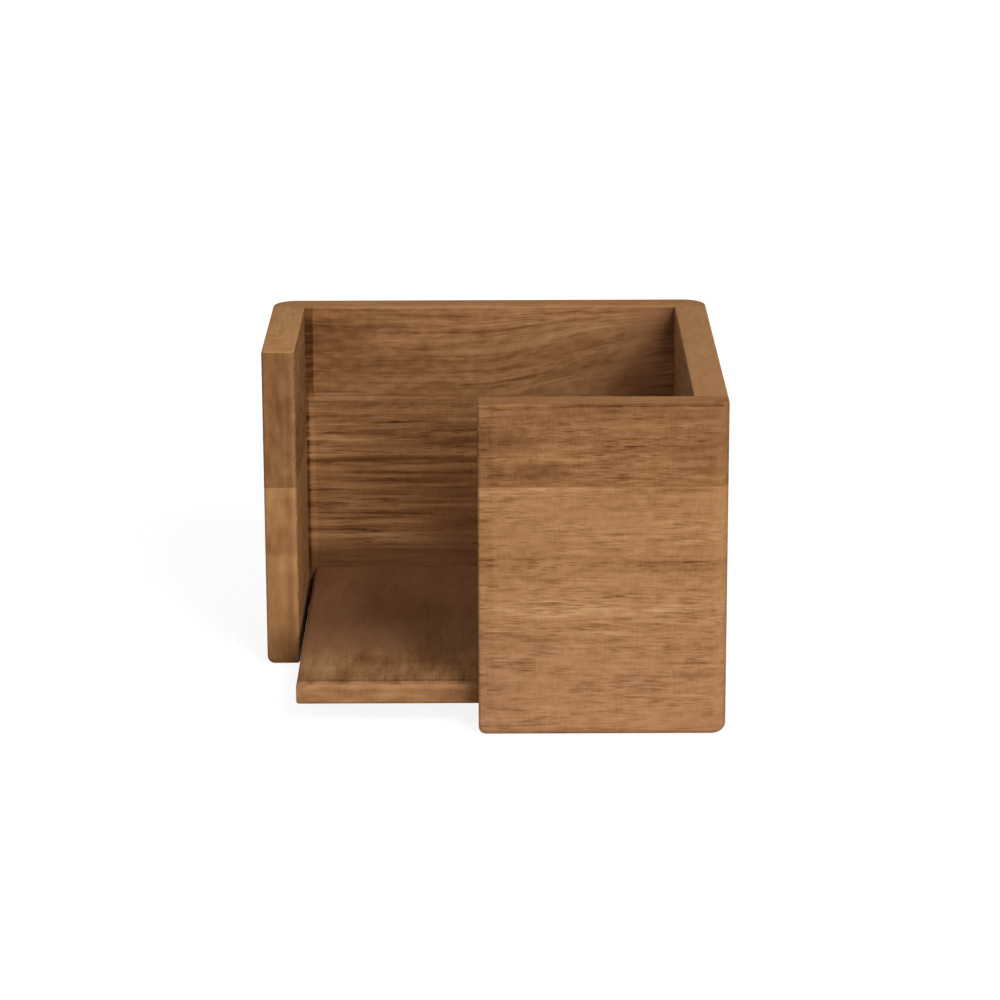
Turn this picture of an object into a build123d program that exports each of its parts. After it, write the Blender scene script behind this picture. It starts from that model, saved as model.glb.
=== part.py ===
from build123d import *

import os

# A square, open-topped wooden napkin holder with one open corner. Five boards are butted together and
# held by blind dowels. Millimetres, +Z up, +X to the right and +Y to the back, with the origin on the
# table under the middle of the holder.

# Outside of the holder
width = 152.0
depth = 152.0
height = 110.0
wall = 11.0  # thickness of the four walls

# The open corner, at the front left
front_width = 79.6  # the front panel, from the right side to its free end
left_depth = 78.5  # the left side, from the back of the holder to its free end

# The board the napkins lie on
base_thickness = 7.6
base_lift = 7.1  # from the table to its underside
base_side_gap = 2.2  # free space between its edge and the left side

# Roundings
back_corner_round = 8.0  # upright outer corners at the back
front_corner_round = 5.0  # upright outer corner at the front right
free_end_round = 1.0  # upright edges of the two free ends
foot_round = 3.2  # lower edges, outside and at the free ends
rim_round = 0.6  # edges along the top
base_edge_round = 1.6  # the two edges of the base that show

# Dowels: the short end is in the face of a wall, the long one in the end of the board that meets it
corner_dowel_diameter = 6.0
corner_dowel_in_face = 6.0
corner_dowel_in_end = 18.0
corner_dowel_count = 3
base_dowel_diameter = 4.0
base_dowel_in_face = 6.0
base_dowel_in_end = 12.0
base_dowel_count = 3
base_front_dowel_count = 2
dowel_chamfer = 0.5
glue_film = 0.05  # round each dowel
glue_pocket = 1.0  # past each end of a dowel

# Places that the boards share
left_x, right_x = -width / 2, width / 2
front_y, back_y = -depth / 2, depth / 2
inner_left_x, inner_right_x = left_x + wall, right_x - wall
inner_front_y, inner_back_y = front_y + wall, back_y - wall
front_end_x = right_x - front_width
left_end_y = back_y - left_depth
base_left_x = inner_left_x + base_side_gap
base_middle_z = base_lift + base_thickness / 2

# Turns that point a dowel's short end into a wall
into_back = (-90, 0, 0)
into_front = (90, 0, 0)
into_right = (0, 90, 0)


def board(x_span, y_span, z_span):
    """A plain board between two limits each way."""
    spans = (x_span, y_span, z_span)
    sizes = [high - low for low, high in spans]
    middle = [(low + high) / 2 for low, high in spans]
    return Pos(*middle) * Box(*sizes)


def edges_at(part, **planes):
    """The edges that lie in every named plane, such as x=0, z=height."""
    near = 1e-4

    def lies_there(edge):
        box = edge.bounding_box()
        return all(
            abs(getattr(corner, axis.upper()) - place) < near
            for axis, place in planes.items()
            for corner in (box.min, box.max)
        )

    return part.edges().filter_by(lies_there)


def spaced(count, start, end):
    """The middles of equal shares of a stretch."""
    share = (end - start) / count
    return [start + share * (i + 0.5) for i in range(count)]


def dowel(diameter, in_face, in_end):
    """One dowel, standing across the joint at z = 0 with its short end above."""
    pin = Cylinder(diameter / 2, in_face + in_end)
    pin = chamfer(pin.edges().filter_by(GeomType.CIRCLE), dowel_chamfer)
    return Pos(0, 0, (in_face - in_end) / 2) * pin


def socket(diameter, in_face, in_end):
    """The space for one dowel in both boards, with room for the glue."""
    length = in_face + in_end + 2 * glue_pocket
    return Pos(0, 0, (in_face - in_end) / 2) * Cylinder(diameter / 2 + glue_film, length)


corner_dowel = (corner_dowel_diameter, corner_dowel_in_face, corner_dowel_in_end)
base_dowel = (base_dowel_diameter, base_dowel_in_face, base_dowel_in_end)

corner_heights = spaced(corner_dowel_count, 0, height)
side_middles = {"left": left_x + wall / 2, "right": right_x - wall / 2}
base_back_places = spaced(base_dowel_count, base_left_x, inner_right_x)
base_right_places = spaced(base_dowel_count, inner_front_y, inner_back_y)
base_front_places = spaced(base_front_dowel_count, front_end_x, inner_right_x)

# Each row of dowels: its size and where each one crosses its joint
dowel_rows = {
    "back_left_dowels": (
        corner_dowel,
        [Location((side_middles["left"], inner_back_y, z), into_back) for z in corner_heights],
    ),
    "back_right_dowels": (
        corner_dowel,
        [Location((side_middles["right"], inner_back_y, z), into_back) for z in corner_heights],
    ),
    "front_right_dowels": (
        corner_dowel,
        [Location((side_middles["right"], inner_front_y, z), into_front) for z in corner_heights],
    ),
    "base_back_dowels": (
        base_dowel,
        [Location((x, inner_back_y, base_middle_z), into_back) for x in base_back_places],
    ),
    "base_right_dowels": (
        base_dowel,
        [Location((inner_right_x, y, base_middle_z), into_right) for y in base_right_places],
    ),
    "base_front_dowels": (
        base_dowel,
        [Location((x, inner_front_y, base_middle_z), into_front) for x in base_front_places],
    ),
}


def drilled(part, *rows):
    """The board with the sockets of the dowel rows that cross into it."""
    for row in rows:
        sizes, places = dowel_rows[row]
        part -= [place * socket(*sizes) for place in places]
    return part


def walls():
    """The four walls in one, rounded as they are once they are glued up."""
    part = board((left_x, right_x), (front_y, back_y), (0, height))
    part -= board((inner_left_x, inner_right_x), (inner_front_y, inner_back_y), (0, height))
    part -= board((left_x, front_end_x), (front_y, left_end_y), (0, height))
    part = fillet(edges_at(part, x=left_x, y=back_y) + edges_at(part, x=right_x, y=back_y), back_corner_round)
    part = fillet(edges_at(part, x=right_x, y=front_y), front_corner_round)
    feet = [{"x": left_x}, {"y": back_y}, {"x": right_x}, {"y": front_y}, {"x": front_end_x}, {"y": left_end_y}]
    part = fillet([edge for side in feet for edge in edges_at(part, z=0, **side)], foot_round)
    left_end = edges_at(part, x=left_x, y=left_end_y) + edges_at(part, x=inner_left_x, y=left_end_y)
    front_end = edges_at(part, x=front_end_x, y=front_y) + edges_at(part, x=front_end_x, y=inner_front_y)
    part = fillet(left_end + front_end, free_end_round)
    return fillet(edges_at(part, z=height), rim_round)


glued_walls = walls()


def wall_panel(x_span, y_span, *rows):
    """One board of the walls, between two limits each way, with its dowel sockets."""
    return drilled(glued_walls & board(x_span, y_span, (0, height)), *rows)


def back_panel():
    """The full-width back, which covers the rear ends of both sides."""
    rows = ("back_left_dowels", "back_right_dowels", "base_back_dowels")
    return wall_panel((left_x, right_x), (inner_back_y, back_y), *rows)


def left_panel():
    """The left side, with its free end half way to the front."""
    return wall_panel((left_x, inner_left_x), (left_end_y, inner_back_y), "back_left_dowels")


def right_panel():
    """The right side, between the back and the front panel."""
    rows = ("back_right_dowels", "front_right_dowels", "base_right_dowels")
    return wall_panel((inner_right_x, right_x), (inner_front_y, inner_back_y), *rows)


def front_panel():
    """The front, from the right corner to its free end."""
    rows = ("front_right_dowels", "base_front_dowels")
    return wall_panel((front_end_x, right_x), (front_y, inner_front_y), *rows)


def base_panel():
    """The board that the napkins lie on, clear of the left side."""
    top = base_lift + base_thickness
    part = board((base_left_x, inner_right_x), (inner_front_y, inner_back_y), (base_lift, top))
    front_edges = edges_at(part, y=inner_front_y, z=top) + edges_at(part, y=inner_front_y, z=base_lift)
    left_edges = edges_at(part, x=base_left_x, z=top) + edges_at(part, x=base_left_x, z=base_lift)
    part = fillet(front_edges + left_edges, base_edge_round)
    return drilled(part, "base_back_dowels", "base_right_dowels", "base_front_dowels")


def dowels(row):
    """All the dowels of one row, each its own solid."""
    sizes, places = dowel_rows[row]
    return Compound(children=[place * dowel(*sizes) for place in places])


os.makedirs("parts", exist_ok=True)
for make in (back_panel, left_panel, right_panel, front_panel, base_panel):
    export_step(make(), f"parts/{make.__name__}.step")
for row in dowel_rows:
    export_step(dowels(row), f"parts/{row}.step")
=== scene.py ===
import math

import bpy
from mathutils import Matrix, Vector


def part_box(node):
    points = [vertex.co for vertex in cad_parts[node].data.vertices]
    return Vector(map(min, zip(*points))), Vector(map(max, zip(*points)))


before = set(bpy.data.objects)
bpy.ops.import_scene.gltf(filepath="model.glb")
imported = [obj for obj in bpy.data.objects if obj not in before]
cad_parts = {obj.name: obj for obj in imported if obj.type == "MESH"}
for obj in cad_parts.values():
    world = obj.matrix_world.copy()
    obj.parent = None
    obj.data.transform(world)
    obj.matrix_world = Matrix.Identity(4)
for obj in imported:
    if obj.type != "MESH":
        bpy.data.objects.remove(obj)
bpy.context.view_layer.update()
scene = bpy.context.scene
mm = 0.001
print("frame loaded:", len(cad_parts), "nodes")


def boxOf(node):
    # lowest and highest corner of a board, in millimetres
    low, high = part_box(node)
    return low / mm, high / mm


rimTop = boxOf("back_panel")[1].z


# Small helpers for building a material

def newMaterial(name):
    material = bpy.data.materials.new(name)
    material.use_nodes = True
    material.node_tree.nodes.clear()
    return material, material.node_tree


def put(tree, socket, value):
    # joins another node's result to the socket, or sets it to a plain value
    if isinstance(value, bpy.types.NodeSocket):
        tree.links.new(value, socket)
    elif value is not None:
        socket.default_value = value


def calc(tree, operation, first, second=None, third=None):
    node = tree.nodes.new("ShaderNodeMath")
    node.operation = operation
    for socket, value in zip(node.inputs, (first, second, third)):
        put(tree, socket, value)
    return node.outputs[0]


def times(tree, first, second):
    return calc(tree, "MULTIPLY", first, second)


def vectorCalc(tree, operation, first, second=None, third=None):
    node = tree.nodes.new("ShaderNodeVectorMath")
    node.operation = operation
    for socket, value in zip(node.inputs, (first, second, third)):
        put(tree, socket, value)
    return node.outputs["Value" if operation in ("LENGTH", "DOT_PRODUCT") else "Vector"]


def blendRange(tree, value, low, high, lowResult=0.0, highResult=1.0):
    # goes smoothly from lowResult to highResult while the value goes from low to high
    node = tree.nodes.new("ShaderNodeMapRange")
    node.interpolation_type = "SMOOTHSTEP"
    names = ("Value", "From Min", "From Max", "To Min", "To Max")
    for name, setting in zip(names, (value, low, high, lowResult, highResult)):
        put(tree, node.inputs[name], setting)
    return node.outputs["Result"]


def addAll(tree, values):
    total = values[0]
    for value in values[1:]:
        total = calc(tree, "ADD", total, value)
    return total


def combine(tree, x, y, z):
    node = tree.nodes.new("ShaderNodeCombineXYZ")
    for socket, value in zip(node.inputs, (x, y, z)):
        put(tree, socket, value)
    return node.outputs[0]


def oneAxis(tree, vector, letter):
    parts = tree.nodes.new("ShaderNodeSeparateXYZ")
    put(tree, parts.inputs[0], vector)
    return parts.outputs["xyz".index(letter)]


def noise(tree, vector, detail, dimensions="3D", roughness=0.5):
    # cloudy, around zero
    node = tree.nodes.new("ShaderNodeTexNoise")
    node.noise_dimensions = dimensions
    put(tree, node.inputs["W" if dimensions == "1D" else "Vector"], vector)
    put(tree, node.inputs["Scale"], 1.0)
    put(tree, node.inputs["Detail"], detail)
    put(tree, node.inputs["Roughness"], roughness)
    return calc(tree, "SUBTRACT", node.outputs["Fac"], 0.5)


def inCells(tree, space, size):
    # places as a count of cells of this length, width and, where it isn't the width, depth
    length, width = size[:2]
    return vectorCalc(tree, "MULTIPLY", space, (1 / length, 1 / width, 1 / size[-1]))


def streaks(tree, space, size, detail=2.0):
    return noise(tree, inCells(tree, space, size), detail)


def dashes(tree, space, size, fill):
    # short thin lines along the grain, 1 at their middle; fill is their share of a cell
    node = tree.nodes.new("ShaderNodeTexVoronoi")
    put(tree, node.inputs["Vector"], inCells(tree, space, size))
    put(tree, node.inputs["Scale"], 1.0)
    core = fill * 0.35  # the part that is fully dark or light
    return blendRange(tree, node.outputs["Distance"], core, fill, 1.0, 0.0)


def unequal(tree, value, dark, light):
    # dark and light streaks around zero, each with its own strength
    darker = times(tree, calc(tree, "MINIMUM", value, 0.0), dark)
    return calc(tree, "MULTIPLY_ADD", calc(tree, "MAXIMUM", value, 0.0), light, darker)


def linear(colour):
    # a written 0-255 colour as the shader reads it
    shares = [level / 255 for level in colour]
    curved = [s / 12.92 if s <= 0.04045 else ((s + 0.055) / 1.055) ** 2.4 for s in shares]
    return (*curved, 1.0)


def colourRamp(tree, value, stops):
    node = tree.nodes.new("ShaderNodeValToRGB")
    ramp = node.color_ramp
    while len(ramp.elements) < len(stops):
        ramp.elements.new(0.5)
    for element, (place, colour) in zip(ramp.elements, stops):
        element.position = place
        element.color = linear(colour)
    put(tree, node.inputs["Fac"], value)
    return node.outputs["Color"]


def tinted(tree, colour, share, shade):
    node = tree.nodes.new("ShaderNodeMix")
    node.data_type = "RGBA"
    node.blend_type = "MULTIPLY"
    put(tree, node.inputs["Factor"], share)
    put(tree, node.inputs["A"], colour)
    put(tree, node.inputs["B"], (*shade, 1.0))
    return node.outputs["Result"]


def woodSurface(tree, look, colour, roughness, relief):
    bump = tree.nodes.new("ShaderNodeBump")
    put(tree, bump.inputs["Strength"], look["reliefStrength"])
    put(tree, bump.inputs["Distance"], look["reliefDepth"] * mm)
    put(tree, bump.inputs["Height"], relief)
    shader = tree.nodes.new("ShaderNodeBsdfPrincipled")
    put(tree, shader.inputs["Base Color"], colour)
    put(tree, shader.inputs["Roughness"], roughness)
    put(tree, shader.inputs["Specular IOR Level"], look["glossLevel"])
    put(tree, shader.inputs["Normal"], bump.outputs["Normal"])
    output = tree.nodes.new("ShaderNodeOutputMaterial")
    tree.links.new(shader.outputs[0], output.inputs["Surface"])


def grainPlaces(tree, grain):
    # millimetres along the grain, across the face and through the board
    place = tree.nodes.new("ShaderNodeTexCoord").outputs["Object"]
    return [times(tree, oneAxis(tree, place, letter), 1 / mm) for letter in grain]


def dress(node, material):
    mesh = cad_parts[node].data
    mesh.materials.clear()
    mesh.materials.append(material)


# The finish of the boards: oiled mid-brown hardwood. A size is in millimetres: the length along the
# grain, the width across it and sometimes the depth into the board.

woodLook = {
    "tones": [  # from the darkest pores to the lightest fibres
        (0.00, (80, 49, 28)),
        (0.22, (116, 76, 45)),
        (0.42, (145, 101, 64)),
        (0.60, (168, 122, 81)),
        (0.78, (184, 138, 96)),
        (1.00, (204, 160, 116)),
    ],
    "seamEdge": 0.12,  # half the width over which one stave turns into the next
    "seamReach": (0.05, 0.3),  # from its dark middle to where it ends
    "seamShade": -0.06,
    "seedShift": 100.0,  # millimetres of wood between one seed and the next
    "wanderSize": (90, 30),
    "rippleSize": (22, 7),
    "sweepFades": (8, 12),  # at the lower and the upper side of a sweep
    "layerDepth": 2.5,  # as a multiple of the width
    "patchySize": (24, 7),
    "patchyRange": (-0.12, 0.14),  # noise from the calmest places to the busiest
    "darkStreaks": 1.35,  # dark streaks stand out more than light ones
    "lightStreaks": 0.75,
    "cloudSize": (45, 15),
    "shimmerSize": (0.8, 4.5),
    "poreSize": (7.0, 0.8),
    "poreFill": 0.42,
    "poreFieldSize": (26, 5),
    "poreFieldRange": (-0.08, 0.14),
    "fewestPores": 0.1,
    "fleckSize": (5.0, 0.9),
    "fleckFill": 0.36,
    "fleckShift": (3.7, 5.1, 2.3),
    "ringDetail": 3.0,
    "ringRoughness": 0.6,
    "raySize": (1.6, 0.5, 9),
    "endMottleSize": (8, 9, 3),
    "endGrainTurn": (0.72, 0.95),  # how squarely a face looks along the grain to show its ends
    "markEdge": (0.2, 1.2),  # shares of a mark's size over which it fades
    "markBreaks": {"strands": 3.0, "fibres": 2.0},  # how far the grain breaks up a mark
    "patchEdge": (0.7, 1.2),
    "faceLean": 12,  # how soon a change that lies in one face ends in the board's thickness
    "rimEdge": (0.5, 0.1),  # below the top, where the sanded rim with its painted top light starts and is reached
    "rimMiddle": 0.4,
    "rimBlend": 0.3,
    "glossLevel": 0.03,
    "roughness": 0.78,
    "poreRoughness": 0.2,
    "bandRoughness": -0.12,
    "fibreRelief": 0.5,
    "reliefDepth": 0.12,
    "reliefStrength": 0.35,
}


def placeOn(tree, places, direction, face):
    # how far along a named direction of the board, or along a slanting one that lies in one face
    if isinstance(direction, str):
        return places[direction]
    depth = calc(tree, "SUBTRACT", places["through"], face)
    spot = combine(tree, places["along"], places["across"], depth)
    return vectorCalc(tree, "DOT_PRODUCT", spot, (*direction, -woodLook["faceLean"]))


def staveValue(tree, board, across, name, usual=1.0):
    # a setting that changes from one stave to the next
    value = board["staves"][0].get(name, usual)
    for before, stave in zip(board["staves"], board["staves"][1:]):
        step = stave.get(name, usual) - before.get(name, usual)
        if step:
            edge = woodLook["seamEdge"]
            past = blendRange(tree, across, stave["from"] - edge, stave["from"] + edge)
            value = calc(tree, "MULTIPLY_ADD", past, step, value)
    return value


def glueLines(tree, board, across):
    # the thin dark seams between the staves
    shown = []
    for stave in board["staves"][1:]:
        gap = calc(tree, "ABSOLUTE", calc(tree, "SUBTRACT", across, stave["from"]))
        shown.append(blendRange(tree, gap, *woodLook["seamReach"], woodLook["seamShade"], 0.0))
    return shown


def sweptGrain(tree, board, places, bent):
    # the grain rises or falls where a branch was near
    lowFade, highFade = woodLook["sweepFades"]
    for start, end, low, high, rise in board["sweeps"]:
        lift = blendRange(tree, places["along"], start, end, 0.0, -rise)
        above = blendRange(tree, places["across"], low, low + lowFade)
        below = blendRange(tree, places["across"], high, high - highFade)
        bent = calc(tree, "MULTIPLY_ADD", lift, times(tree, above, below), bent)
    return bent


def growthRings(tree, board, places, bent, seed):
    # uneven rings round a pith that lies off the board and leans along it
    pithAcross = staveValue(tree, board, places["across"], "pithAcross")
    pithThrough = staveValue(tree, board, places["across"], "pithThrough")
    leaning = calc(tree, "MULTIPLY_ADD", places["along"], board["taper"], places["through"])
    sideways = calc(tree, "SUBTRACT", bent, pithAcross)
    inwards = calc(tree, "SUBTRACT", leaning, pithThrough)
    outFromPith = vectorCalc(tree, "LENGTH", combine(tree, 0.0, sideways, inwards))
    count = calc(tree, "ADD", calc(tree, "DIVIDE", outFromPith, board["ringWidth"]), seed)
    return noise(tree, count, woodLook["ringDetail"], "1D", woodLook["ringRoughness"])


def grainParts(tree, board, straight, space):
    # every streak, pore and fleck of the wood by its name
    parts = {
        name: streaks(tree, space, (length, width, width * woodLook["layerDepth"]))
        for name, (length, width, strength) in board["layers"].items()
    }
    busy = streaks(tree, space, woodLook["patchySize"], detail=1.0)
    busy = blendRange(tree, busy, *woodLook["patchyRange"], *board["patchiness"])
    for name in ("strands", "fibres"):
        streak = unequal(tree, parts[name], woodLook["darkStreaks"], woodLook["lightStreaks"])
        parts[name] = times(tree, streak, busy)
    field = streaks(tree, space, woodLook["poreFieldSize"], detail=1.0)
    field = blendRange(tree, field, *woodLook["poreFieldRange"], woodLook["fewestPores"], 1.0)
    pores = dashes(tree, space, woodLook["poreSize"], woodLook["poreFill"])
    parts["pores"] = times(tree, pores, field)
    aside = vectorCalc(tree, "ADD", space, woodLook["fleckShift"])
    parts["flecks"] = dashes(tree, aside, woodLook["fleckSize"], woodLook["fleckFill"])
    parts["clouds"] = streaks(tree, straight, woodLook["cloudSize"])
    parts["shimmer"] = streaks(tree, straight, woodLook["shimmerSize"], detail=1.0)
    parts["rays"] = streaks(tree, straight, woodLook["raySize"], detail=1.0)
    parts["endMottle"] = streaks(tree, straight, woodLook["endMottleSize"], detail=3.0)
    return parts


def fromMiddle(tree, space, middle, half):
    # distance from a middle on each axis, as a share of the half size
    scale = [1 / h for h in half]
    offset = [-m * s for m, s in zip(middle, scale)]
    return vectorCalc(tree, "MULTIPLY_ADD", space, scale, offset)


def singleMarks(tree, board, space, parts):
    # streaks and stains that stand out by themselves, and on the back some broad painted light and
    # shade, each a soft ellipse broken up by the grain
    if not board["marks"]:
        return []
    shown = []
    for along, across, halfLength, halfWidth, change in board["marks"]:
        middle = (along, across, board["face"])
        spot = fromMiddle(tree, space, middle, (halfLength, halfWidth, board["markDepth"]))
        reach = vectorCalc(tree, "LENGTH", spot)
        shown.append(blendRange(tree, reach, *woodLook["markEdge"], change, 0.0))
    brokenUp = 1.0
    for name, strength in woodLook["markBreaks"].items():
        brokenUp = calc(tree, "MULTIPLY_ADD", parts[name], strength * board["markGrain"], brokenUp)
    return [times(tree, addAll(tree, shown), brokenUp)]


def boxPatches(tree, board, space):
    # box-shaped places with a soft edge, such as a painted highlight or shade along an arris or
    # painted shade in a corner
    shown = []
    for middle, half, change in board["patches"]:
        spot = vectorCalc(tree, "ABSOLUTE", fromMiddle(tree, space, middle, half))
        reach = oneAxis(tree, spot, "x")
        for letter in "yz":
            reach = calc(tree, "MAXIMUM", reach, oneAxis(tree, spot, letter))
        shown.append(blendRange(tree, reach, *woodLook["patchEdge"], change, 0.0))
    return shown


def withRimAndTopLight(board):
    # the sanded rim shows less grain; its tone and tint are painted light, a lighter and warmer top
    changes = {name: list(board[name]) for name in ("calm", "zones", "tints")}
    if board["rim"]:
        start, end = (rimTop - below for below in woodLook["rimEdge"])
        middle = rimTop - woodLook["rimMiddle"]
        changes["calm"].append(("across", start, end, board["rim"]["grainLeft"]))
        changes["zones"].append(("across", middle, woodLook["rimBlend"], board["rim"]["change"]))
        changes["tints"].append(("across", start, end, board["rim"]["tint"]))
    return changes


def woodMaterial(board):
    material, tree = newMaterial(board["finish"])
    along, across, through = grainPlaces(tree, board["grain"])
    places = {"along": along, "across": across, "through": through}
    face = board["face"]
    changes = withRimAndTopLight(board)

    # each stave of the glued-up board is another stretch of wood, with the grain a little bent
    seed = staveValue(tree, board, across, "seed")
    shifted = calc(tree, "MULTIPLY_ADD", seed, woodLook["seedShift"], along)
    straight = combine(tree, shifted, across, through)
    wander = streaks(tree, straight, woodLook["wanderSize"], detail=1.5)
    ripple = streaks(tree, straight, woodLook["rippleSize"], detail=1.0)
    rippled = calc(tree, "MULTIPLY_ADD", ripple, board["ripple"], across)
    bent = calc(tree, "MULTIPLY_ADD", wander, board["wander"], rippled)
    bent = sweptGrain(tree, board, places, bent)
    parts = grainParts(tree, board, straight, combine(tree, shifted, bent, through))
    parts["rings"] = growthRings(tree, board, places, bent, seed)

    # the ends of the fibres show rings and rays instead of long streaks
    normal = tree.nodes.new("ShaderNodeNewGeometry").outputs["Normal"]
    lengthways = calc(tree, "ABSOLUTE", oneAxis(tree, normal, board["grain"][0]))
    endGrain = blendRange(tree, lengthways, *woodLook["endGrainTurn"])
    sideGrain = calc(tree, "SUBTRACT", 1.0, endGrain)
    sideGrain = times(tree, sideGrain, staveValue(tree, board, across, "strength"))
    for direction, start, end, share in changes["calm"]:
        at = placeOn(tree, places, direction, face)
        sideGrain = times(tree, sideGrain, blendRange(tree, at, start, end, 1.0, share))

    sides = [times(tree, parts[name], strength) for name, strength in board["sides"].items()]
    for name, (length, width, strength) in board["layers"].items():
        layer = times(tree, parts[name], strength)
        sides.append(times(tree, layer, staveValue(tree, board, across, name)))
    ends = [times(tree, parts[name], strength) for name, strength in board["ends"].items()]
    ends.append(board["endTone"])

    tone = glueLines(tree, board, across)
    tone.append(staveValue(tree, board, across, "tone"))
    tone.append(times(tree, parts["clouds"], board["clouds"]))
    tone.append(times(tree, addAll(tree, sides), sideGrain))
    tone.append(times(tree, addAll(tree, ends), endGrain))
    tone += singleMarks(tree, board, combine(tree, along, rippled, through), parts)
    tone += boxPatches(tree, board, combine(tree, along, across, through))
    for direction, middle, reach, change in changes["zones"]:
        at = placeOn(tree, places, direction, face)
        tone.append(blendRange(tree, at, middle - reach, middle + reach, 0.0, change))

    colour = colourRamp(tree, addAll(tree, tone), woodLook["tones"])
    for direction, start, end, shade in changes["tints"]:
        share = blendRange(tree, placeOn(tree, places, direction, face), start, end)
        colour = tinted(tree, colour, share, shade)

    # open pores and fibres in the surface, and a little more gloss on the light bands
    fibres = times(tree, parts["fibres"], woodLook["fibreRelief"])
    relief = calc(tree, "SUBTRACT", fibres, parts["pores"])
    inPores = times(tree, parts["pores"], woodLook["poreRoughness"])
    onBands = times(tree, parts["bands"], woodLook["bandRoughness"])
    roughness = addAll(tree, [inPores, onBands, woodLook["roughness"]])
    woodSurface(tree, woodLook, colour, roughness, relief)
    return material


# What every board has unless it says otherwise, in millimetres where it is a place or a size

usualBoard = {
    "layers": {  # length, width and strength of each kind of streak
        "bands": (28, 2.4, 0.36),
        "strands": (10, 1.0, 0.48),
        "fibres": (4.5, 0.55, 0.44),
        "mottle": (5, 2.2, 0.38),
    },
    "sides": {"pores": -0.20, "flecks": 0.06, "rings": 0.12, "shimmer": 0.12},
    "ends": {"rings": 0.30, "rays": 0.14, "endMottle": 0.35},  # on the cut ends instead
    "endTone": -0.08,
    "clouds": 0.22,
    "wander": 4.0,  # how far the grain strays, and then how far it ripples
    "ripple": 0.3,
    "patchiness": (0.6, 1.3),  # strength of the streaks in the calmest and the busiest places
    "sweeps": [],
    "taper": 0.05,  # lean of the rings' pith
    "rim": None,
    "calm": [],
    "zones": [],
    "tints": [],
    "patches": [],
    "face": None,  # where the marks and the slanting directions lie, through the board
    "marks": [],
    "markDepth": 9.0,
    "markGrain": 1.0,  # how much the grain breaks them up
}

frontPanel = {
    **usualBoard,
    "node": "front_panel",
    "finish": "frontWood",
    "grain": "xzy",  # the axes along, across and through the board
    "staves": [  # the glued strips: from where, how light, which stretch of wood, and its pith
        {"tone": 0.62, "seed": 3.1, "pithAcross": -30, "pithThrough": -30},
        {"from": 83.2, "tone": 0.46, "seed": 10.4, "pithAcross": 30, "pithThrough": -20},
    ],
    "layers": {
        "bands": (34, 2.4, 0.34),
        "strands": (12, 1.0, 0.35),
        "fibres": (6, 0.5, 0.32),
        "mottle": (5, 2.2, 0.38),
    },
    "sides": {**usualBoard["sides"], "shimmer": 0.15},
    "wander": 1.8,
    "ripple": 0.15,
    "patchiness": (0.45, 1.35),
    "ringWidth": 3.2,
    # the rim's change of tone and its tint are painted light, a lighter and warmer top
    "rim": {"grainLeft": 0.55, "change": 0.13, "tint": (1.0, 0.94, 0.86)},
    "calm": [("along", 70, 73.5, 0.6)],  # direction, from, to, share of the grain left past it
    "tints": [("across", 50, 20, (1.0, 1.0, 1.06))],  # direction, from, to, colour to multiply by
    "patches": [  # middle, half sizes, change of tone
        # painted shade along the top front arris, and on the rounded front right corner of the rim
        ((50, 109.6, -76), (28, 0.5, 0.9), -0.28),
        ((73.5, 110, -73), (2.2, 1.0, 3.0), -0.12),
        ((-3, 66, -76), (4.5, 44, 5), -0.07),
    ],
    "face": boxOf("front_panel")[0].y,
    "marks": [  # along, across, half length, half width, change of tone
        (14, 87, 12, 4.0, -0.15),
        (2.5, 87, 4.0, 4.5, -0.15),
        (4, 99, 16, 6.0, -0.14),
        (36, 107, 60, 4.0, -0.08),
        (10, 81.8, 12, 0.8, 0.14),
        (44, 76, 50, 6.0, -0.05),
        (6, 64, 16, 7, -0.06),
        (14, 60.2, 17, 1.6, -0.14),
        (39, 61.8, 8, 2.2, -0.10),
        (60, 58.4, 16, 0.5, -0.16),
        (36, 57, 60, 4.0, -0.08),
        (1, 50.6, 3, 0.7, -0.22),
        (67, 74.2, 6, 0.8, -0.18),
        (30, 43, 70, 6.0, 0.10),
        (16, 32.4, 9, 0.8, -0.14),
        (50, 33.6, 12, 0.6, -0.10),
        (36, 32, 70, 3.0, -0.05),
        (2, 23.4, 4, 0.9, -0.14),
        (2, 16.2, 4, 0.9, -0.14),
        (66, 20.8, 10, 1.4, -0.12),
        (44, 34, 44, 9, 0.05),
        (64, 102, 22, 9, -0.07),
        (36, 96, 14, 8, -0.03),
    ],
}

# The back's inside has painted shade: darker low down by the base, in the corners and in the
# shadows of the right side and the front panel, bluer there and with calmer grain. A direction
# given as two numbers, along and across, lies in its inside face and leaves the outside alone.

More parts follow.
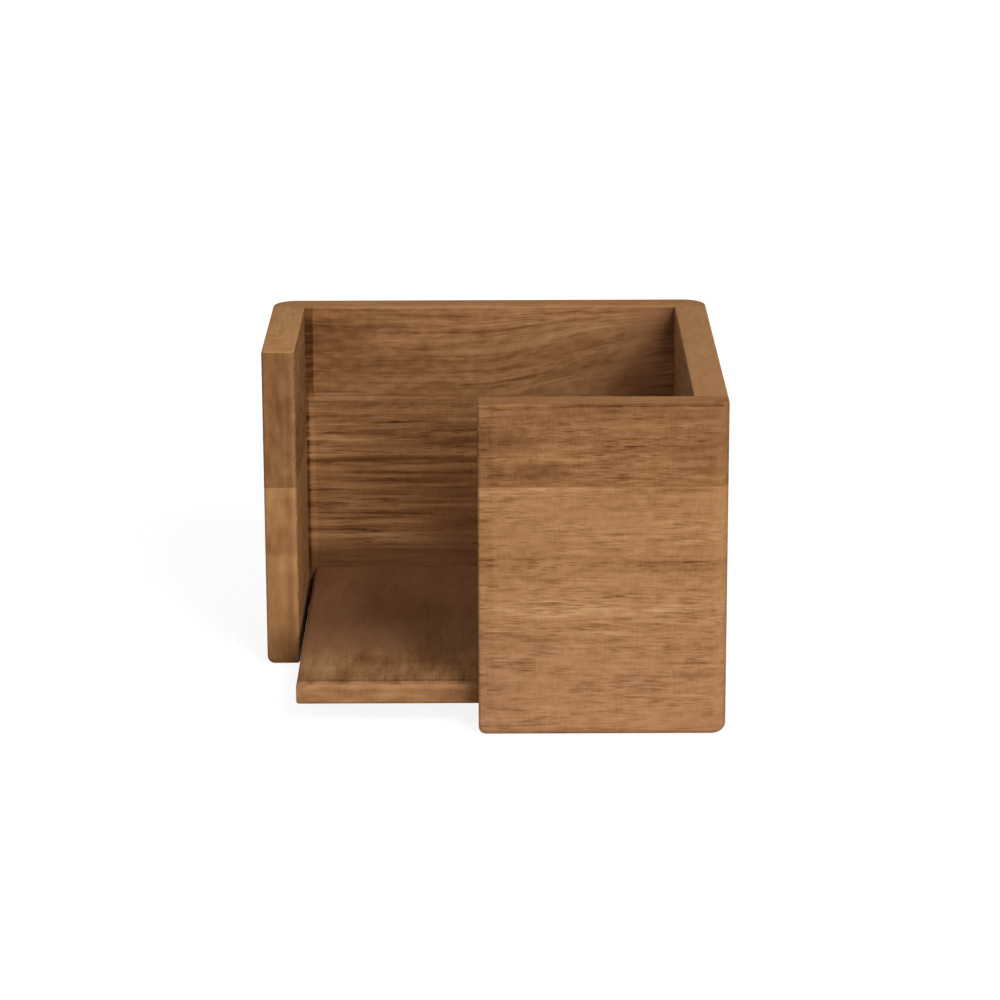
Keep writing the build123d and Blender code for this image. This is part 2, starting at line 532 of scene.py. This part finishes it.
backPanel = {
    **usualBoard,
    "node": "back_panel",
    "finish": "backWood",
    "grain": "xzy",
    "staves": [
        {"tone": 0.48, "mottle": 0.2, "seed": 11.7, "pithAcross": -40, "pithThrough": 100},
        {
            "from": 55.0,
            "tone": 0.53,
            "mottle": 0.4,
            "seed": 19.0,
            "pithAcross": -20,
            "pithThrough": 100,
        },
        {
            "from": 78.0,
            "tone": 0.56,
            "strength": 0.65,
            "seed": 26.3,
            "pithAcross": 60,
            "pithThrough": 30,
        },
    ],
    "layers": {
        "bands": (80, 3.0, 1.0),
        "strands": (26, 1.1, 0.80),
        "fibres": (9, 0.6, 0.30),
        "mottle": (5, 2.2, 0.80),
    },
    "wander": 1.6,
    "ripple": 0.1,
    "patchiness": (0.55, 1.35),
    "sweeps": [(-10, 70, 72, 112, 14)],  # from and to along, from and to across, rise
    "ringWidth": 3.0,
    # the rim's change of tone and its tint are painted light, a lighter and warmer top
    "rim": {"grainLeft": 0.55, "change": 0.20, "tint": (1.0, 0.95, 0.88)},
    "calm": [
        # the grain fades in the painted shade: near the right side, low on the right and by the
        # base
        ((1, 0), 42, 56, 0.35),
        ((0.7, -0.7), -42, -24, 0.6),
        ((0, -1), -23, -20, 0.4),
    ],
    "tints": [
        ("across", 20, 30, (1.0, 0.965, 0.90)),
        # painted shade colour: bluer by the base, low on the right and near the right corner
        ((0, -1), -24, -18, (0.99, 1.0, 1.05)),
        ((0.7, -0.7), -47, -20, (0.99, 1.0, 1.14)),
        ((1, 0), 40, 62, (0.98, 0.96, 0.99)),
    ],
    "zones": [  # direction, middle and half width of the step, change of tone past it
        # painted shadow of the right side, a diagonal wedge, then painted shade low down by the
        # base
        ((0.81, -0.59), -13, 3, -0.19),
        ((0, -1), -22, 1.5, -0.15),
    ],
    "patches": [
        # painted shade in the corner by the left side, low and high, with a painted highlight strip
        # beside it
        ((-64.9, 46, 65), (0.9, 32, 0.6), -0.40),
        ((-62.6, 44, 65), (0.9, 28, 0.6), 0.12),
        ((-63.8, 94, 65), (1.7, 16, 0.6), -0.34),
    ],
    "face": boxOf("back_panel")[0].y,
    "marks": [
        (-30, 78.2, 34, 0.4, -0.14),
        (-44, 76.6, 26, 0.8, 0.07),
        (-44, 66.5, 24, 1.8, 0.07),
        (-46, 61.8, 20, 0.5, 0.16),
        (-12, 61.0, 14, 0.9, -0.16),
        (-40, 55.4, 32, 1.1, -0.22),
        (-48, 52.9, 16, 0.6, 0.12),
        (-50, 44.1, 15, 0.5, 0.14),
        (-44, 41.9, 20, 0.6, -0.14),
        (-46, 36.4, 20, 0.6, 0.18),
        (-14, 34.3, 16, 0.8, 0.18),
        (-14, 40.8, 12, 0.6, -0.12),
        (-50, 26.5, 14, 0.6, 0.12),
        # painted light: lighter on the left, where light comes in past the open corner
        (-58, 48, 18, 32, 0.12),
        (-36, 28, 14, 7, 0.14),
        (-30, 50, 40, 6, -0.06),
        # painted shadow of the front panel, darker low on the right
        (-8, 42, 20, 20, -0.14),
        (-58, 66, 14, 12, 0.05),
        # painted shade near the left corner, high up
        (-60, 100, 24, 14, -0.22),
        (0, 86, 26, 8, 0.05),
        (14, 106, 50, 5, 0.08),
        (6, 92, 26, 9, 0.05),
        (-10, 60, 20, 8, -0.07),
        # more painted shadow of the front panel, low on the right
        (-6, 26, 16, 12, -0.12),
        (-28, 74, 46, 3.5, -0.13),
        (-56, 54, 9, 3, -0.10),
        (-58, 71, 12, 6, -0.07),
        # painted shade at the edge of the right side's shadow
        (42, 86, 16, 9, -0.10),
        (61, 86, 8, 14, 0.22),
    ],
}

leftPanel = {
    **usualBoard,
    "node": "left_panel",
    "finish": "leftWood",
    "grain": "yzx",
    "staves": [
        {"tone": 0.52, "seed": 23.4, "pithAcross": 30, "pithThrough": 60},
        {"from": 63.0, "tone": 0.30, "seed": 30.7, "pithAcross": 95, "pithThrough": 60},
    ],
    "ends": {"rings": 0.12, "rays": 0.08, "endMottle": 0.50},
    "endTone": -0.02,
    "taper": 0.04,
    "ringWidth": 2.4,
    # the rim's change of tone and its tint are painted light, a lighter and warmer top
    "rim": {"grainLeft": 0.55, "change": 0.42, "tint": (1.0, 0.90, 0.77)},
    "tints": [("across", 66, 60, (1.0, 0.98, 0.90))],
    # the first zone leaves the lowest part darker: painted shade near the floor
    "zones": [("across", 16, 9, 0.12), ("along", -2, 0.3, 0.05)],
    "patches": [
        # a painted highlight along the inner arris of the free end, with a darker strip beside it
        ((-2.5, 55, -65.6), (1.0, 55, 0.8), 0.09),
        ((-2.5, 55, -67.8), (1.0, 55, 0.8), -0.05),
        ((-2.5, 77, -67.4), (1.0, 13, 1.8), 0.05),
        ((-2.5, 61, -70), (1.0, 1.8, 7), 0.08),
        ((-2.5, 36, -70), (1.0, 3.5, 7), 0.06),
        ((-2.5, 44, -70), (1.0, 5.0, 7), -0.09),
        # painted shade in the corner by the back
        ((64.5, 46, -65), (1.5, 32, 0.6), -0.16),
        # painted light lifting the shade low on the inside, beside and under the base
        ((31, 5, -65), (34, 9, 0.6), 0.50),
    ],
    "face": -70.0,  # inside its free end
    "marks": [(-2.5, 77, 3, 12, 0.04)],
}

rightPanel = {
    **usualBoard,
    "node": "right_panel",
    "finish": "rightWood",
    "grain": "yzx",
    "staves": [
        {"tone": 0.56, "seed": 31.9, "pithAcross": 20, "pithThrough": -20},
        {"from": 71.0, "tone": 0.50, "seed": 39.2, "pithAcross": 120, "pithThrough": 0},
    ],
    "ringWidth": 3.1,
    # the rim's change of tone and its tint are painted light, a lighter and warmer top
    "rim": {"grainLeft": 0.35, "change": 0.28, "tint": (1.0, 0.93, 0.84)},
    # painted shade colour: the inside face bluer
    "tints": [("through", 65.4, 65.1, (0.99, 1.0, 1.10))],
}

basePanel = {
    **usualBoard,
    "node": "base_panel",
    "finish": "baseWood",
    "grain": "yxz",
    "staves": [
        {"tone": 0.51, "seed": 47.2, "pithAcross": -30, "pithThrough": -60},
        {"from": -4.0, "tone": 0.48, "seed": 54.5, "pithAcross": 40, "pithThrough": -60},
    ],
    "layers": {
        "bands": (34, 5.0, 0.38),
        "strands": (18, 2.0, 0.34),
        "fibres": (6, 0.6, 0.24),
        "mottle": (9, 4.0, 0.46),
    },
    "sides": {**usualBoard["sides"], "pores": -0.06, "shimmer": 0.16},
    "ends": {"rings": 0.22, "rays": 0.14, "endMottle": 0.60},
    "endTone": 0.03,
    "wander": 6.0,
    "ripple": 0.5,
    "ringWidth": 3.0,
    # painted shade: the top darker, bluer and calmer in grain towards the right and the back, in
    # the shade of the front panel and the walls
    "calm": [("along", -44, -24, 0.2)],
    "tints": [("along", -46, -14, (0.98, 1.01, 1.18))],
    "zones": [("across", -10, 40, -0.10), ("along", -32, 20, -0.14)],
    "patches": [
        # a painted highlight on the front top arris, with a darker strip just behind it
        ((-65, -32, 13.2), (0.8, 29, 0.7), 0.11),
        ((-62.6, -32, 14.7), (0.9, 29, 0.8), -0.18),
        # painted light at the front of the top, where light comes in past the open corner
        ((-56, -34, 14.7), (9, 30, 2), 0.06),
    ],
    "face": boxOf("base_panel")[1].z,
    "markGrain": 0.3,
    "marks": [
        (-10, -6, 36, 18, 0.18),
        (-44, 2, 20, 16, 0.16),
        (-14, -28, 30, 18, 0.10),
        (-44, -56, 16, 10, 0.13),
        (24, -54, 26, 9, 0.08),
        (50, 0, 18, 14, -0.06),
    ],
}

for board in (frontPanel, backPanel, leftPanel, rightPanel, basePanel):
    dress(board["node"], woodMaterial(board))
print("boards finished")

# The dowels: bare turned beech, plain

dowelLook = {
    "tones": [(0.0, (170, 136, 94)), (0.5, (205, 173, 128)), (1.0, (224, 196, 153))],
    "middleTone": 0.5,
    "fibreSize": (8, 0.4),
    "bandSize": (40, 1.4),
    "streakStrength": 0.6,
    "glossLevel": 0.5,
    "roughness": 0.65,
    "fibreRoughness": 0.2,
    "reliefDepth": 0.08,
    "reliefStrength": 0.3,
}
dowelGrain = {
    "back_left_dowels": "yzx",
    "back_right_dowels": "yzx",
    "front_right_dowels": "yzx",
    "base_back_dowels": "yzx",
    "base_front_dowels": "yzx",
    "base_right_dowels": "xyz",
}


def dowelMaterial(name, grain):
    material, tree = newMaterial(name)
    space = combine(tree, *grainPlaces(tree, grain))
    fibres = streaks(tree, space, dowelLook["fibreSize"])
    bands = streaks(tree, space, dowelLook["bandSize"], detail=1.0)
    both = calc(tree, "ADD", fibres, bands)
    tone = calc(tree, "MULTIPLY_ADD", both, dowelLook["streakStrength"], dowelLook["middleTone"])
    colour = colourRamp(tree, tone, dowelLook["tones"])
    rougher = times(tree, fibres, dowelLook["fibreRoughness"])
    roughness = calc(tree, "ADD", rougher, dowelLook["roughness"])
    woodSurface(tree, dowelLook, colour, roughness, fibres)
    return material


dowelFinish = {grain: dowelMaterial(f"dowelWood_{grain[0]}", grain) for grain in ("yzx", "xyz")}
for node, grain in dowelGrain.items():
    dress(node, dowelFinish[grain])
print("dowels finished")

# Camera, at the photograph's place

cameraSetup = {
    "place": (3.51, -1176.1, 388.1),  # millimetres
    "pitchDown": 15.693,  # degrees, as is the roll
    "roll": 0.199,
    "focalLength": 130.2,
    "sensorWidth": 36.0,
}


def addCamera(setup):
    pitch = math.radians(setup["pitchDown"])
    roll = math.radians(setup["roll"])
    ahead = Vector((0, math.cos(pitch), -math.sin(pitch)))
    right = Vector((1, 0, 0))
    up = right.cross(ahead)
    tiltedRight = right * math.cos(roll) - up * math.sin(roll)
    tiltedUp = up * math.cos(roll) + right * math.sin(roll)
    data = bpy.data.cameras.new("camera")
    data.lens = setup["focalLength"]
    data.sensor_width = setup["sensorWidth"]
    data.sensor_fit = "HORIZONTAL"
    camera = bpy.data.objects.new("camera", data)
    turn = Matrix((tiltedRight, tiltedUp, -ahead)).transposed()
    camera.matrix_world = Matrix.Translation(Vector(setup["place"]) * mm) @ turn.to_4x4()
    scene.collection.objects.link(camera)
    return camera


scene.camera = addCamera(cameraSetup)
print("camera placed")

# Light and floor. A lamp's turn, to the right of the front, and its rise from the floor are in
# degrees. Its distance and size are in metres.

lightSetup = {
    "ambient": 0.32,  # of a white sky
    "lamps": {
        "keyLight": {"turn": 26, "rise": 42, "distance": 1.6, "size": 0.5, "energy": 9.0},
        "frontLight": {"turn": 28, "rise": 14, "distance": 2.0, "size": 1.3, "energy": 15.0},
    },
    "aim": (0, 0, 50),  # millimetres
    "floorSide": 12.0,
    "floorBounce": 0.85,
    "floorShade": 0.30,  # how strongly the floor shows the shadow
    "floorGlow": 0.88,  # near the holder
    "farGlow": 1.0,
    "glowReach": (0.15, 0.9),  # metres from the holder over which the glow rises
}


def addLamp(name, lamp, aim):
    turn = math.radians(lamp["turn"])
    rise = math.radians(lamp["rise"])
    level = math.cos(rise)
    outward = Vector((math.sin(turn) * level, -math.cos(turn) * level, math.sin(rise)))
    data = bpy.data.lights.new(name, "AREA")
    data.shape = "DISK"
    data.size = lamp["size"]
    data.energy = lamp["energy"]
    light = bpy.data.objects.new(name, data)
    light.location = Vector(aim) * mm + outward * lamp["distance"]
    light.rotation_euler = outward.to_track_quat("Z", "Y").to_euler()
    light.visible_camera = False
    scene.collection.objects.link(light)


def greyDiffuse(tree, level):
    node = tree.nodes.new("ShaderNodeBsdfDiffuse")
    put(tree, node.inputs["Color"], (level, level, level, 1.0))
    return node.outputs[0]


def floorMaterial(setup):
    # white to the camera apart from the shadow, and a plain pale floor to the light
    material, tree = newMaterial("floorWhite")
    away = vectorCalc(tree, "LENGTH", tree.nodes.new("ShaderNodeTexCoord").outputs["Object"])
    glow = tree.nodes.new("ShaderNodeEmission")
    strength = blendRange(tree, away, *setup["glowReach"], setup["floorGlow"], setup["farGlow"])
    put(tree, glow.inputs["Strength"], strength)
    shown = tree.nodes.new("ShaderNodeAddShader")
    put(tree, shown.inputs[0], greyDiffuse(tree, setup["floorShade"]))
    put(tree, shown.inputs[1], glow.outputs[0])
    mix = tree.nodes.new("ShaderNodeMixShader")
    put(tree, mix.inputs["Fac"], tree.nodes.new("ShaderNodeLightPath").outputs["Is Camera Ray"])
    put(tree, mix.inputs[1], greyDiffuse(tree, setup["floorBounce"]))
    put(tree, mix.inputs[2], shown.outputs[0])
    output = tree.nodes.new("ShaderNodeOutputMaterial")
    tree.links.new(mix.outputs[0], output.inputs["Surface"])
    return material


def addFloor(setup):
    half = setup["floorSide"] / 2
    corners = [(-half, -half, 0), (half, -half, 0), (half, half, 0), (-half, half, 0)]
    mesh = bpy.data.meshes.new("floor")
    mesh.from_pydata(corners, [], [(0, 1, 2, 3)])
    mesh.materials.append(floorMaterial(setup))
    floor = bpy.data.objects.new("floor", mesh)
    scene.collection.objects.link(floor)
    return floor


def lightWorld(ambient):
    # a soft sky of this strength, which looks plain white to the camera and in reflections
    world = bpy.data.worlds.new("studio")
    scene.world = world
    world.use_nodes = True
    tree = world.node_tree
    tree.nodes.clear()
    path = tree.nodes.new("ShaderNodeLightPath")
    shown = calc(tree, "MAXIMUM", path.outputs["Is Camera Ray"], path.outputs["Is Glossy Ray"])
    shown = calc(tree, "MAXIMUM", shown, path.outputs["Is Transmission Ray"])
    background = tree.nodes.new("ShaderNodeBackground")
    strength = calc(tree, "MULTIPLY_ADD", shown, 1 - ambient, ambient)
    put(tree, background.inputs["Color"], (1, 1, 1, 1))
    put(tree, background.inputs["Strength"], strength)
    output = tree.nodes.new("ShaderNodeOutputWorld")
    tree.links.new(background.outputs[0], output.inputs["Surface"])


lightWorld(lightSetup["ambient"])
for name, lamp in lightSetup["lamps"].items():
    addLamp(name, lamp, lightSetup["aim"])
addFloor(lightSetup)
scene.view_settings.view_transform = "Standard"
print("light and floor ready")
